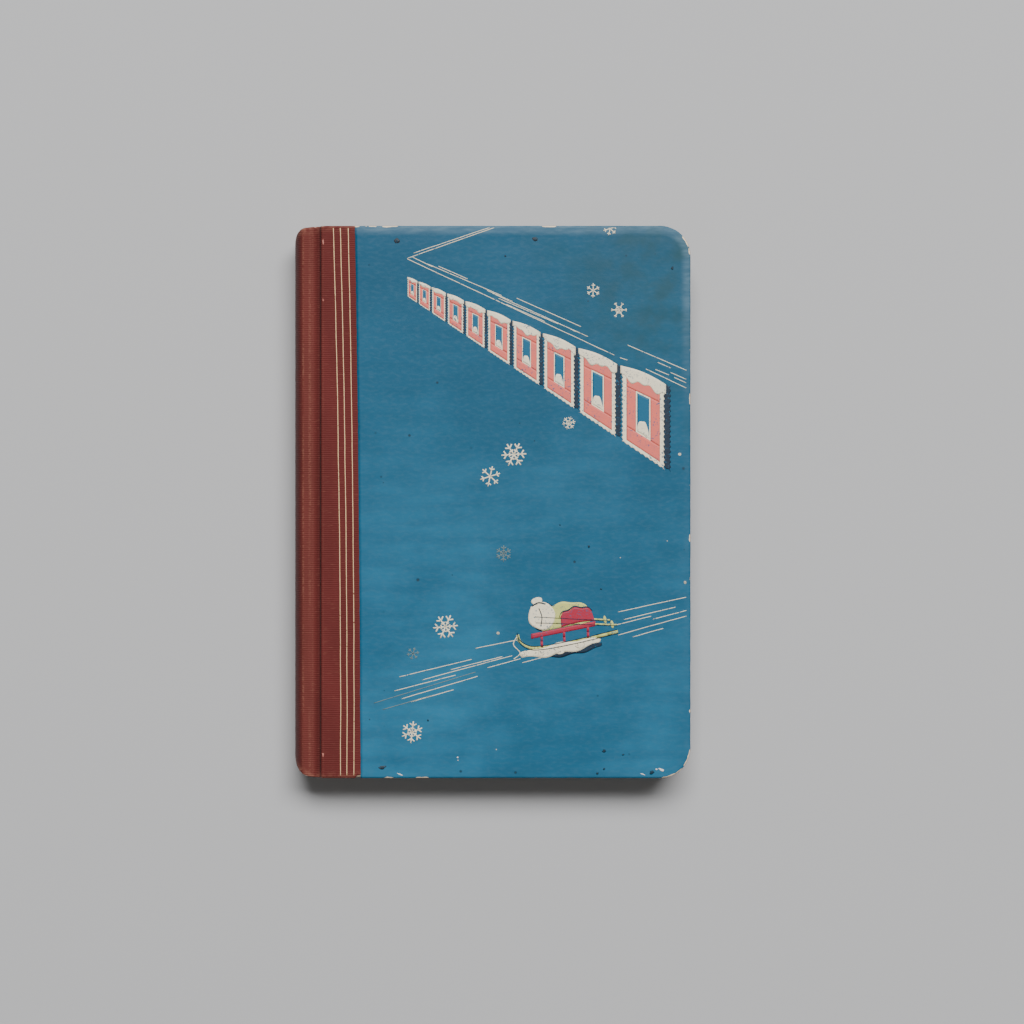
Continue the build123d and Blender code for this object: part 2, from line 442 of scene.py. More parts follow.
@dataclass(frozen=True)
class WovenFinish:
    """Plain-woven tape or gauze."""

    name: str
    colour: Colour
    gap: Colour
    thread_mm: float

    def make(self) -> Material:
        """Build the material."""
        recipe = Recipe(self.name, self.gap, Roughness=0.85, Sheen_Weight=0.2)
        fineness = math.pi / 10 / (self.thread_mm * MM)
        waves = {"Vector": recipe.place, "Scale": fineness, "Distortion": 0.4, "Detail": 1.0}
        weave = recipe.times(*(recipe.add("TexWave", waves, "Fac", bands_direction=axis) for axis in "XY"))
        recipe.lay(self.colour, weave)
        recipe.lay(self.gap, recipe.patches(0.45, 0.7, 9, 4), 0.4)
        return recipe.finish(None, weave)


@dataclass(frozen=True)
class GlassineFinish:
    """Translucent, slightly glossy glassine."""

    name: str
    alpha: float
    colour: Colour = (222, 217, 200)
    toned: Colour = (210, 202, 180)

    def make(self) -> Material:
        """Build the material."""
        recipe = Recipe(self.name, self.colour, Alpha=self.alpha, Specular_IOR_Level=0.55)
        cloudy = recipe.patches(0.35, 0.7, 12, 5)
        recipe.lay(self.toned, cloudy)
        return recipe.finish(recipe.varied(cloudy, 0.28, 0.38), recipe.mottle(5, 5, (0.5, 1.6, 1.0), 3.0))


@dataclass(frozen=True)
class FloorFinish:
    """Plain pale studio floor."""

    colour: Colour = (172, 172, 173)
    shaded: Colour = (164, 164, 166)

    def make(self) -> Material:
        """Build the material."""
        recipe = Recipe("studio_floor", self.colour, Roughness=0.85)
        recipe.lay(self.shaded, recipe.mottle(60, 2), 0.06)
        return recipe.finish()


# ------------------------------------------------------------------ mesh helpers
def piece_from(name: str, points: Sequence, faces: Sequence, material: Material) -> Piece:
    """Make an object whose mesh is given in millimetres in the album's frame.

    Args:
        name: Name of the piece.
        points: Corners, in millimetres.
        faces: Corner numbers of each face, turning left as seen from outside.
        material: Its finish.

    Returns:
        The object, smooth shaded, at the origin.
    """
    mesh = bpy.data.meshes.new(name)
    mesh.from_pydata([(x * MM, y * MM, z * MM) for x, y, z in points], [], faces)
    mesh.polygons.foreach_set("use_smooth", [True] * len(mesh.polygons))
    mesh.materials.append(material)
    piece = bpy.data.objects.new(name, mesh)
    bpy.context.scene.collection.objects.link(piece)
    return piece


def lattice_faces(rows: int, columns: int, turned: bool = False) -> list[tuple[int, ...]]:
    """Four-cornered faces of a lattice of points, given row by row.

    Args:
        rows: Number of rows.
        columns: Number of points in a row.
        turned: Whether the faces look the other way.

    Returns:
        The faces.
    """
    starts = [row * columns + column for row in range(rows - 1) for column in range(columns - 1)]
    faces = [(a, a + 1, a + columns + 1, a + columns) for a in starts]
    return [face[::-1] for face in faces] if turned else faces


def store(piece: Piece, name: str, values: Sequence[float]) -> None:
    """Store one value for each point of a piece."""
    piece.data.attributes.new(name, "FLOAT", "POINT").data.foreach_set("value", list(values))


def thicken(piece: Piece, thickness_mm: float) -> Piece:
    """Give a sheet its thickness, inwards from the face that is seen, and make its mesh final."""
    solidify = piece.modifiers.new("thickness", "SOLIDIFY")
    solidify.thickness = thickness_mm * MM
    solidify.offset = -1.0
    graph = bpy.context.evaluated_depsgraph_get()
    thick = piece.evaluated_get(graph)
    mesh = bpy.data.meshes.new_from_object(thick, preserve_all_data_layers=True, depsgraph=graph)
    piece.modifiers.clear()
    piece.data = mesh
    return piece


def smooth_path(corners: Sequence[Point], steps: int) -> list[Point]:
    """Catmull-Rom curve through a few points.

    Args:
        corners: Points that the curve passes through.
        steps: Number of points on each span.

    Returns:
        Points along the curve, with both ends.
    """
    knots = [np.array(c, float) for c in corners]
    knots = [2 * knots[0] - knots[1], *knots, 2 * knots[-1] - knots[-2]]
    path = []
    for before, first, second, after in zip(knots, knots[1:], knots[2:], knots[3:]):
        for t in np.arange(steps) / steps:
            bend = (2 * before - 5 * first + 4 * second - after) * t * t
            twist = (3 * first - before - 3 * second + after) * t**3
            path.append(tuple((2 * first + (second - before) * t + bend + twist) / 2))
    return [*path, tuple(knots[-2])]


def quarter(radius: float, first: int, last: int, steps: int) -> list[Point]:
    """Points of a quarter round, as reach outwards and drop, from one step of it to another."""
    angles = [math.pi / 2 * step / steps for step in range(first, last + 1)]
    return [(radius * math.sin(a), radius * (1 - math.cos(a))) for a in angles]


def ripple(x: float, y: float, size_mm: float, shift: float = 0.0) -> float:
    """Smooth noise from -1 to 1 over the plan of a cover."""
    return noise.noise(Vector((x / size_mm + shift, y / size_mm - shift, shift)))


def cover_relief(x: float, y: float, shift: float = 0.0) -> float:
    """Height in millimetres of the worn surface of a cover's paper above its flat level.

    Args:
        x: Place across the cover.
        y: Place up the cover.
        shift: Offset of the dents.

    Returns:
        Height, mostly below zero.
    """
    edge = SIZES.to_edge(x, y)
    head = 0.5 + 0.5 * math.tanh(y / 25)
    open_paper = min(1.0, max(0.0, (x - SIZES.paper_line(y)) / 3.5))
    roll = max(0.0, 1 - edge / 4.2) ** 1.7 * (0.07 + 0.09 * head)
    crease = math.exp(-(((edge - 3.9) / 0.7) ** 2)) * (0.015 + 0.025 * head)
    dents = 0.045 * ripple(x, y, 13, shift) + 0.020 * ripple(x, y, 4.5, shift + 5)
    return dents + 0.006 * ripple(x, y, 1.8, shift) - (roll + crease) * open_paper - 0.05


# chipped places on the front cover's edge: x, y and reach in millimetres
WORN_EDGES = ((-45.0, 91.0, 2.0), (-40.0, 91.0, 2.5), (-34.5, 91.0, 3.5), (18.5, 91.0, 3.0),
              (-23.0, -91.0, 2.2), (-33.5, -91.0, 1.5), (65.0, -69.0, 1.5), (65.0, 34.0, 2.0),
              (65.0, -12.0, 2.5))


def edge_wear(x: float, y: float, side: Side) -> float:
    """How worn a cover's edge is, from 0 to about 1.3: its corners most, and the chipped places."""
    wear = 0.24 + 0.3 * ripple(x, y, 9, side.shift)
    reach = SIZES.corner * (0.3 if y > 0 else 0.9)
    rounded = x > SIZES.fore_x - reach and abs(y) > SIZES.head_y - SIZES.corner * 0.9
    spots = WORN_EDGES if side is Side.FRONT else ()
    chips = max((math.exp(-((math.dist((x, y), spot[:2]) / spot[2]) ** 2)) for spot in spots), default=0.0)
    return wear + 0.75 * max(chips, float(rounded))


# ------------------------------------------------------------------ cover paper
@dataclass
class CoverPaper:
    """Printed paper over one board: face, rolled edges and turn-ins as one sheet."""

    side: Side
    finish: CoverPaperFinish = field(default_factory=CoverPaperFinish)
    cell: float = 1.0
    turn_in: float = 5.0
    thickness: float = 0.22
    corner_steps: int = 14
    round_steps: int = 6
    inner_round: float = 0.35
    points: list = field(default_factory=list)
    rim: list[float] = field(default_factory=list)
    wear: list[float] = field(default_factory=list)

    def rows(self) -> list[float]:
        """Heights up the cover of the lattice's rows, closer together in the corners."""
        straight = SIZES.head_y - SIZES.corner
        count = round(2 * straight / self.cell)
        middle = [-straight + 2 * straight * i / count for i in range(count + 1)]
        turn = quarter(SIZES.corner - SIZES.edge_round, 1, self.corner_steps, self.corner_steps)
        ends = [straight + up for up, _ in turn]
        return [-y for y in reversed(ends)] + middle + ends

    def far(self, y: float) -> float:
        """Fore-edge end of a row, just inside the rounded edge."""
        radius = SIZES.corner - SIZES.edge_round
        over = max(0.0, abs(y) - (SIZES.head_y - SIZES.corner))
        return SIZES.fore_x - SIZES.corner + math.sqrt(max(0.0, radius**2 - over**2))

    def outward(self, x: float, y: float) -> Point:
        """Direction across the cover's edge at a point of the lattice's border."""
        over_x = max(0.0, x - (SIZES.fore_x - SIZES.corner))
        over_y = max(0.0, abs(y) - (SIZES.head_y - SIZES.corner))
        length = math.hypot(over_x, over_y) or 1.0
        return over_x / length, math.copysign(over_y / length, y)

    def profile(self) -> list[tuple[float, float, float]]:
        """Section of the rolled edge: reach outwards, drop, and share of the face's relief."""
        radius, inner, depth = SIZES.edge_round, self.inner_round, SIZES.cover_side
        rolled = quarter(radius, 1, self.round_steps, self.round_steps)
        section = [(reach, drop, 1 - i / self.round_steps) for i, (reach, drop) in enumerate(rolled, 1)]
        section += [(radius, radius + (depth - inner - radius) * share, 0.0) for share in (0.35, 0.7)]
        section += [(radius - drop, depth - inner + reach, 0.0) for reach, drop in quarter(inner, 0, 3, 3)]
        return [*section, (radius - self.turn_in, depth, 0.0)]

    def add_point(self, x: float, y: float, z: float, rim: float, wear: float) -> int:
        """Add a point with its distance from the edge and its wear, and return its number."""
        self.points.append((x, y, z))
        self.rim.append(rim)
        self.wear.append(wear)
        return len(self.points) - 1

    def face_of_sheet(self) -> tuple[list, list[int]]:
        """Lay out the sheet's flat face.

        Returns:
            Its faces, and the point numbers along its three outer edges.
        """
        rows, shift = self.rows(), self.side.shift
        columns = round((SIZES.fore_x - SIZES.paper_line(0)) / self.cell)
        for y in rows:
            near, far = SIZES.paper_line(y), self.far(y)
            ragged = 0.12 * ripple(0, y, 2.2, shift + 3) + 0.10 * ripple(0, y, 19, shift)
            for share in np.arange(columns + 1) / columns:
                x = near + (far - near) * share + ragged * (1 - share) ** 12
                height = SIZES.thickness + cover_relief(x, y, shift)
                self.add_point(x, y, height, SIZES.to_edge(x, y), edge_wear(x, y, self.side))
        width, last = columns + 1, len(rows) - 1
        border = [last * width + c for c in range(width)]
        border += [r * width + columns for r in range(last - 1, -1, -1)] + list(range(columns - 1, -1, -1))
        return lattice_faces(len(rows), width), border

    def build(self) -> Piece:
        """Build the sheet.

        Returns:
            The piece, riding on its cover in place of the plain one.
        """
        faces, border = self.face_of_sheet()
        previous = border
        for reach, drop, relief in self.profile():
            ring = []
            for number in border:
                x, y, z = self.points[number]
                across, up = self.outward(x, y)
                worn = reach * (1 + 0.10 * ripple(x, y, 3.0, self.side.shift + 9) * (drop > 0.2))
                height = SIZES.thickness + (z - SIZES.thickness) * relief - drop
                rim = SIZES.edge_round - reach - drop
                ring.append(self.add_point(x + across * worn, y + up * worn, height, rim, self.wear[number]))
            faces += zip(previous, previous[1:], ring[1:], ring)
            previous = ring
        points = [(x, y, self.side.height(z)) for x, y, z in self.points]
        faces = [face[::-1] for face in faces] if self.side is Side.BACK else faces
        piece = piece_from(f"{self.side.value}_paper_sheet", points, faces, self.finish.make(self.side))
        store(piece, "rim_mm", self.rim)
        store(piece, "wear", self.wear)
        thicken(piece, self.thickness)
        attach(piece, self.side.body)
        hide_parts(f"{self.side.value}_cover_paper")
        LOG.info("%s: %d faces", piece.name, len(piece.data.polygons))
        return piece


# ------------------------------------------------------------------ spine cloth
@dataclass
class SpineCloth:
    """Half of the spine cloth, from under one cover's paper to the middle of the spine."""

    side: Side
    finish: SpineClothFinish = field(default_factory=SpineClothFinish)
    under_paper: float = 3.0
    step_down: float = 0.1
    row_mm: float = 0.9
    turn_in: float = 8.0
    turn_steps: int = 5
    thickness: float = 0.28
    joint_thickness: float = 0.22
    fold_from: float = 8.3
    fold_to: float = 4.7
    bulge: float = 0.9
    end_slope: float = 0.9
    head_corner: float = 3.4
    tail_corner: float = 5.2

    @property
    def flat(self) -> float:
        """Height of the cloth on the front board."""
        return SIZES.thickness - self.step_down

    def section(self) -> list[Point]:
        """Section of the cloth as distance from the spine and height, for the front half."""
        flat, bulge = self.flat, self.bulge
        reach = max(SIZES.cloth_head, SIZES.cloth_tail) + self.under_paper
        board = [(reach, flat), (22.0, flat), (18.5, flat), (14.0, flat), (10.6, flat), (9.4, flat)]
        groove = [(8.75, flat - 0.05), (8.35, flat - 0.24), (8.1, flat - 0.75), (7.9, flat - 1.3),
                  (7.4, flat - 1.35), (6.7, flat - 0.95)]
        crown = [(5.8, flat - 0.45), (4.7, flat - 0.16), (3.6, flat - 0.2), (2.5, flat - 0.24),
                 (1.5, flat - 0.85), (0.55, flat - 2.0)]
        side = [(-0.15 * bulge, flat - 3.4), (-0.75 * bulge, flat - 5.3), (-bulge, SIZES.thickness / 2)]
        return smooth_path(board + groove + crown + side, 4)

    def end(self, across: float, corner: float) -> float:
        """Where the cloth ends, from the middle of the album, at a distance from the spine."""
        over = min(corner, max(0.0, corner - across - 0.5))
        rounding = 0.9 * (corner - math.sqrt(corner**2 - over**2))
        slope = self.end_slope * max(0.0, 1 - max(0.0, across) / 9)
        under_paper = min(1.0, max(0.0, across - SIZES.cloth_head))
        return SIZES.head_y - rounding - slope - 0.8 * under_paper

    def depth(self, across: float) -> float:
        """Thickness that the cloth is turned in over at its ends."""
        board = SIZES.cover_side - self.step_down
        return float(np.interp(across, (0.0, 4.0, 7.4, 7.9, 8.7), (1.35, 1.3, 0.6, 0.8, board)))

    def inward(self, across: float, height: float) -> Point:
        """Direction from the cloth's outside into the spine or the board."""
        if across >= 5.0:
            return 0.0, -1.0
        x, z = 5.0 - across, min(height, SIZES.thickness - 4.6) - height
        length = math.hypot(x, z)
        return x / length, z / length

    def strip(self, across: float, height: float, count: int) -> list[tuple[float, float, float, float]]:
        """Points of one line of the cloth from tail to head.

        Args:
            across: Distance from the spine.
            height: Height of the cloth's outside.
            count: Number of points along the open stretch.

        Returns:
            X, Y and Z of each point and its distance from the cloth's end.
        """
        depth, shift = self.depth(across), self.side.shift
        radius = min(SIZES.edge_round, depth / 2)
        in_x, in_z = self.inward(across, height)
        head, tail = self.end(across, self.head_corner), self.end(across, self.tail_corner)

        def turned_over(end: float) -> list[Point]:
            """Cloth going round one end: distance from the middle and depth."""
            steps = self.turn_steps
            outer = [(end - radius + reach, drop) for reach, drop in quarter(radius, 1, steps, steps)]
            inner = [(end - drop, depth - radius + reach)
                     for reach, drop in quarter(radius, 0, steps - 1, steps - 1)]
            return outer + inner + [(end - self.turn_in, depth + 0.02)]

        line = [(y, 0.0) for y in np.linspace(radius - tail, head - radius, count)]
        placed = []
        for y, sunk in [(-y, drop) for y, drop in reversed(turned_over(tail))] + line + turned_over(head):
            worn = 0.018 * ripple(across, y, 2.4, shift) + 0.03 * ripple(across, y, 11, shift + 2)
            hollow = 0.14 * ripple(0, y, 16, shift) * math.exp(-(((across - 4.2) / 2.4) ** 2))
            covered = min(0.4, 0.5 * max(0.0, SIZES.spine_x + across - SIZES.paper_line(y) - 0.5))
            covered *= max(0.0, 1 - 2 * sunk / depth)
            sag = sunk - (worn + hollow) * (sunk == 0) + covered
            edge = (head - y if y > 0 else tail + y) - sunk
            placed.append((SIZES.spine_x + across + in_x * sag, y, height + in_z * sag, edge))
        return placed

    def sheet(self, name: str, lines: list[list[tuple]], thickness: float, cloth: Material) -> Piece:
        """Make one piece of cloth.

        Args:
            name: Name of the piece.
            lines: Lines of points from tail to head, each X, Y, Z and distance from the cloth's end.
            thickness: Thickness of the cloth.
            cloth: Its finish.

        Returns:
            The piece.
        """
        points = [(x, y, self.side.height(z)) for line in lines for x, y, z, _ in line]
        faces = lattice_faces(len(lines), len(lines[0]), turned=self.side is Side.BACK)
        piece = piece_from(f"{self.side.value}_{name}", points, faces, cloth)
        store(piece, "rim_mm", [edge for line in lines for *_, edge in line])
        return thicken(piece, thickness)

    def build(self) -> None:
        """Build the cloth that bends in the groove, and the stretch turned in round the board's near edge."""
        cloth = self.finish.make(self.side)
        count = round(2 * SIZES.head_y / self.row_mm)
        strips = [self.strip(across, height, count) for across, height in self.section()]
        outer = self.sheet("half_of_spine_cloth", strips, self.thickness, cloth)
        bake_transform(outer)
        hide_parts(f"{self.side.value}_cloth_side", "spine_cloth")
        inner = self.flat - SIZES.cover_side + 0.1
        section = smooth_path([(8.3, self.flat - 0.6), (8.12, self.flat - 1.1), (8.06, inner + 0.5),
                               (8.4, inner + 0.04), (9.4, inner), (13.0, inner)], 3)
        heights = np.linspace(-1, 1, 160) * (SIZES.head_y - 0.4)
        lines = [[(SIZES.spine_x + s, y, z, SIZES.head_y - abs(y)) for y in heights] for s, z in section]
        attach(self.sheet("joint_cloth", lines, self.joint_thickness, cloth), self.side.body)
        LOG.info("%s: %d faces", outer.name, len(outer.data.polygons))


# ------------------------------------------------------------------ studio
@dataclass(frozen=True)
class Studio:
    """Floor, lights and camera, with places and sizes in metres."""

    camera_place: tuple[float, float, float] = (0.0062, -0.0033, 0.70)
    lens: float = 73.1
    floor_half: float = 3.0
    sky: float = 0.085

    def floor(self) -> None:
        """Lay a plain pale floor under the album."""
        half = self.floor_half / MM
        corners = [(-half, -half, 0), (half, -half, 0), (half, half, 0), (-half, half, 0)]
        piece_from("floor", corners, [(0, 1, 2, 3)], FloorFinish().make())

    def hang(self, name: str, data: bpy.types.ID, place: tuple[float, float, float]) -> Piece:
        """Put a light or the camera in its place."""
        thing = bpy.data.objects.new(name, data)
        thing.location = place
        bpy.context.scene.collection.objects.link(thing)
        return thing

    def lamp(self, name: str, place: tuple[float, float, float], size: Point, power: float) -> None:
        """Hang one soft light that faces the album, with its power in watts."""
        data = bpy.data.lights.new(name, "AREA")
        data.shape, data.energy = "RECTANGLE", power
        data.size, data.size_y = size
        self.hang(name, data, place).rotation_euler = Vector(place).to_track_quat("Z", "Y").to_euler()

    def build(self) -> None:
        """Set up the whole studio."""
        self.floor()
        self.lamp("window", (0.56, 2.24, 3.28), (3.4, 1.5), 328.0)
        self.lamp("bounce", (-1.4, -2.4, 2.6), (3.0, 3.0), 16.0)
        world = bpy.data.worlds.new("studio")
        world.use_nodes = True
        background = world.node_tree.nodes["Background"].inputs
        background["Color"].default_value, background["Strength"].default_value = (1, 1, 1, 1), self.sky
        bpy.context.scene.world = world
        data = bpy.data.cameras.new("camera")
        data.lens = self.lens
        bpy.context.scene.camera = self.hang("camera", data, self.camera_place)


def dress_cad_nodes() -> None:
    """Give each CAD node that stays in sight its own finish."""
    card = SheetFinish("leaf_card", (222, 212, 186), (196, 174, 132)).make()
    endpaper = SheetFinish("endpaper", (226, 218, 196), (190, 164, 120), foxing=0.4).make()
    board = SheetFinish("greyboard", (150, 142, 128), (112, 100, 84), 0.9, 0.08, 0.9).make()
    finishes: dict[str, Material] = {
        "card": card, "binding_stubs": card, "pastedown": endpaper, "flyleaf": endpaper, "board": board,
        "spine_strip": board,
        "spine_lining": SheetFinish("kraft_paper", (168, 132, 92), (128, 96, 62), 0.8, 0.05).make(),
        "guard": WovenFinish("linen_tape", (214, 206, 186), (150, 138, 112), 0.34).make(),
        "mull_lining": WovenFinish("mull_gauze", (214, 206, 182), (120, 104, 80), 0.9).make(),
        "interleaf": GlassineFinish("interleaf_glassine", 0.6).make(),
    }
    for name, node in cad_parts.items():
        for ending, material in finishes.items():
            if name.endswith(ending):
                node.data.materials.clear()
                node.data.materials.append(material)


# ------------------------------------------------------------------ geometry-node trees
class Growth(NodeSheet):
    """A Geometry Nodes tree under construction, ending in realised geometry with one material."""

    def __init__(self, name: str, inputs: dict[str, float | int | tuple]) -> None:
        """Start a tree.

        Args:
            name: Name of the tree.
            inputs: Named sizes with their first values.
        """
        super().__init__(bpy.data.node_groups.new(name, "GeometryNodeTree"))
        sockets = self.group.interface
        sockets.new_socket("Geometry", in_out="OUTPUT", socket_type="NodeSocketGeometry")
        kinds = {float: "NodeSocketFloat", int: "NodeSocketInt", tuple: "NodeSocketVector"}
        self.identifiers: dict[str, str] = {}
        for label, value in inputs.items():
            socket = sockets.new_socket(label, in_out="INPUT", socket_type=kinds[type(value)])
            socket.default_value = value
            self.identifiers[label] = socket.identifier
        self.entry = self.group.nodes.new("NodeGroupInput")
        self.place = self.geo("InputPosition")

    def __getitem__(self, label: str) -> Socket:
        """Socket of one named input."""
        return self.entry.outputs[label]

    def geo(self, kind: str, inputs: dict | None = None, **settings: object) -> Socket:
        """Add a geometry node and return its first output."""
        return self.add(kind, inputs, family="GeometryNode", **settings)

    def vector(self, x: object = 0.0, y: object = 0.0, z: object = 0.0) -> Socket:
        """Vector of three values."""
        return self.add("CombineXYZ", {0: x, 1: y, 2: z})

    def line(self, start: object, end: object) -> Socket:
        """Straight line between two places."""
        return self.geo("CurvePrimitiveLine", {"Start": start, "End": end})

    def grid(self, width: object, depth: object, columns: object, rows: object) -> Socket:
        """Flat grid about the origin."""
        inputs = {"Size X": width, "Size Y": depth, "Vertices X": columns, "Vertices Y": rows}
        return self.geo("MeshGrid", inputs)

    def moved(self, geometry: Socket, offset: Socket) -> Socket:
        """Geometry with its points moved."""
        return self.geo("SetPosition", {"Geometry": geometry, "Offset": offset})

    def join(self, *parts: Socket) -> Socket:
        """All parts together."""
        joined = self.geo("JoinGeometry")
        for part in parts:
            self.group.links.new(part, joined.node.inputs[0])
        return joined

    def ribbon(self, curve: Socket) -> Socket:
        """Flat ribbon along a curve, as wide as the tree's own width."""
        level = self.geo("SetCurveNormal", {"Curve": curve}, mode="Z_UP")
        half = self.times(self["Width"], 0.5)
        across = self.line(self.vector(self.times(half, -1.0)), self.vector(half))
        return self.geo("CurveToMesh", {"Curve": level, "Profile Curve": across})

    def finish(self, geometry: Socket) -> "Growth":
        """Realise the geometry, give it its material and return the tree."""
        realised = self.geo("RealizeInstances", {"Geometry": geometry})
        self.paint = self.geo("SetMaterial", {"Geometry": realised})
        self.group.links.new(self.paint, self.group.nodes.new("NodeGroupOutput").inputs[0])
        return self

    def grow(self, material: Material, **values: float | int | tuple) -> bpy.types.Mesh:
        """Run the tree once.

        Args:
            material: Finish of the result.
            **values: Sizes by the name of the input, with underscores for spaces.

        Returns:
            A plain mesh.
        """
        self.paint.node.inputs["Material"].default_value = material
        holder = bpy.data.objects.new("holder", bpy.data.meshes.new("holder"))
        bpy.context.scene.collection.objects.link(holder)
        modifier = holder.modifiers.new("growth", "NODES")
        modifier.node_group = self.group
        for label, value in values.items():
            modifier[self.identifiers[label.replace("_", " ")]] = value
        graph = bpy.context.evaluated_depsgraph_get()
        graph.update()
        mesh = bpy.data.meshes.new_from_object(holder.evaluated_get(graph), depsgraph=graph)
        bpy.data.objects.remove(holder)
        return mesh


def ruled_line_tree() -> Growth:
    """Tree for a thin, slightly wavering printed line lying flat."""
    tree = Growth("ruled_line", {"Start": (0.0, 0.0, 0.0), "End": (1.0, 0.0, 0.0), "Width": 0.3, "Wave": 0.1,
                                 "Wave Size": 20.0, "Bow": 0.0, "Seed": 0.0, "Steps": 60})
    many = tree.geo("ResampleCurve", {"Curve": tree.line(tree["Start"], tree["End"]), "Count": tree["Steps"]})
    fineness = tree.calc("DIVIDE", 1.0, tree["Wave Size"])
    inputs = {"Vector": tree.place, "W": tree["Seed"], "Scale": fineness, "Detail": 2.0}
    wobble = tree.add("TexNoise", inputs, "Color", noise_dimensions="4D")
    centred = tree.add("VectorMath", {0: wobble, 1: (0.5, 0.5, 0.5)}, operation="SUBTRACT")
    reach = tree.vector(tree["Wave"], tree["Wave"])
    waving = tree.add("VectorMath", {0: centred, 1: reach}, operation="MULTIPLY")
    bow = tree.times(tree["Bow"], tree.calc("POWER", tree.geo("SplineParameter"), 2.2))
    offset = tree.add("VectorMath", {0: waving, 1: tree.vector(bow)}, operation="ADD")
    return tree.finish(tree.ribbon(tree.moved(many, offset)))


def snowflake_tree() -> Growth:
    """Tree for a plain six-armed snowflake lying flat about the origin."""
    tree = Growth("snowflake", {"Radius": 4.0, "Width": 0.4, "Branch Place": 0.6, "Branch Length": 0.35,
                                "Second Place": 0.35, "Second Length": 0.2, "Turn": 0.0})

    def twig(pair: str, lean: float) -> Socket:
        """One side branch of an arm, whose place and length are shares of the radius."""
        root, reach = (tree.times(tree[f"{pair} {part}"], tree["Radius"]) for part in ("Place", "Length"))
        tip = tree.vector(tree.plus(root, tree.times(reach, 0.5)), tree.times(reach, lean))
        return tree.line(tree.vector(root), tip)

    twigs = [twig(pair, lean) for pair in ("Branch", "Second") for lean in (0.8, -0.8)]
    arm = tree.join(tree.line((0, 0, 0), tree.vector(tree["Radius"])), *twigs)
    centres = tree.geo("Points", {"Count": 6, "Position": (0, 0, 0), "Radius": 0.1})
    angle = tree.plus(tree.times(tree.geo("InputIndex"), math.pi / 3), tree["Turn"])
    inputs = {"Points": centres, "Instance": arm, "Rotation": tree.vector(z=angle)}
    whole = tree.geo("RealizeInstances", {"Geometry": tree.geo("InstanceOnPoints", inputs)})
    return tree.finish(tree.ribbon(tree.geo("ResampleCurve", {"Curve": whole, "Count": 5})))


def perforated_sheet_tree() -> Growth:
    """Tree for a flat stamp with half-round perforations along its edges, its low corner at the origin."""
    tree = Growth("perforated_sheet", {"Columns": 10, "Rows": 14, "Hole": 0.3})
    wide, tall = tree["Columns"], tree["Rows"]
    grid = tree.grid(wide, tall, *(tree.plus(tree.times(size, 4.0), 1.0) for size in (wide, tall)))
    x, y = tree.along("X"), tree.along("Y")

    def notch(across: Socket, size: Socket, along: Socket, length: Socket) -> Socket:
        """How far a point moves in for the perforations of the edge that it is near."""
        to_edge = tree.minus(tree.times(size, 0.5), tree.calc("ABSOLUTE", across))
        nearness = tree.calc("MAXIMUM", tree.minus(1.0, tree.calc("DIVIDE", to_edge, 0.8)), 0.0)
        local = tree.minus(tree.calc("FRACT", tree.plus(along, tree.times(length, 0.5))), 0.5)
        room = tree.minus(tree.times(tree["Hole"], tree["Hole"]), tree.times(local, local))
        inset = tree.calc("SQRT", tree.calc("MAXIMUM", room, 0.0))
        return tree.times(tree.calc("SIGN", across), -1.0, inset, nearness)

    cut = tree.moved(grid, tree.vector(notch(x, wide, y, tall), notch(y, tall, x, wide)))
    corner = tree.vector(tree.times(wide, 0.5), tree.times(tall, 0.5))
    return tree.finish(tree.geo("Transform", {"Geometry": cut, "Translation": corner}))


